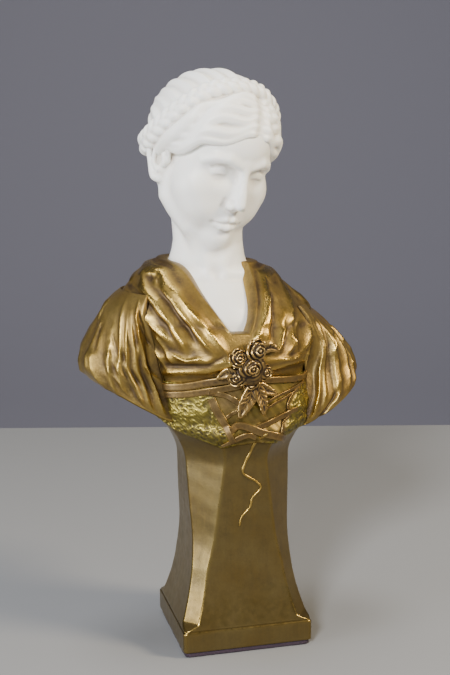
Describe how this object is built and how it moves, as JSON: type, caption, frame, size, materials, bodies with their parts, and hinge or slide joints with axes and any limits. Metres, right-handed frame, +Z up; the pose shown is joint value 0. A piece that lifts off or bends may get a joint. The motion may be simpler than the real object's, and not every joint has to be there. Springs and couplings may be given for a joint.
{
  "type": "marble bust",
  "caption": "Bust of a young woman: carved marble head with a plaited crown of hair, puff-sleeved bronze dress with ribbons and roses, on a waisted bronze pedestal.",
  "frame": {"origin": "centre of the felt's underside, where the bust rests", "axes": "+Z up, the figure's front and the plinth's front face towards -Y, +X to the figure's left"},
  "size_m": [0.124, 0.0739, 0.2419],
  "materials": {
    "felt": "matte felt",
    "plate_steel": "dull",
    "fastener_steel": "satin",
    "rod_steel": "satin",
    "pedestal_bronze": "satin, brown in the recesses",
    "lace_bronze": "polished on its ridge",
    "stippled_bronze": "stippled, green gold",
    "ribbon_bronze": "satin",
    "bodice_bronze": "polished folds, brown in the recesses",
    "sleeve_bronze": "polished folds, brown in the recesses",
    "rose_bronze": "brown, bright on the petal edges",
    "dowel_brass": "turned",
    "bush_brass": "turned",
    "packing_leather": "matte",
    "marble": "honed, white"
  },
  "bodies": {
    "root": {"felt_pad": "felt", "base_plate": "plate_steel", "base_plate_screws": "fastener_steel", "pedestal": "pedestal_bronze", "lace_tail": "lace_bronze", "cross_bar": "plate_steel", "rod_washer": "fastener_steel", "rod_nut": "fastener_steel", "tie_rod": "rod_steel", "corset": "stippled_bronze", "corset_dowels": "dowel_brass", "waist_ribbon": "ribbon_bronze", "ribbon_lacing": "ribbon_bronze", "bodice": "bodice_bronze", "bodice_dowels": "dowel_brass", "right_sleeve": "sleeve_bronze", "left_sleeve": "sleeve_bronze", "sleeve_pins": "dowel_brass", "rose_spray": "rose_bronze", "rose_stud": "fastener_steel", "rose_nut": "fastener_steel", "seat_packing": "packing_leather", "head_key_pin": "dowel_brass", "rod_anchor": "bush_brass", "marble_head": "marble"}
  },
  "joints": []
}
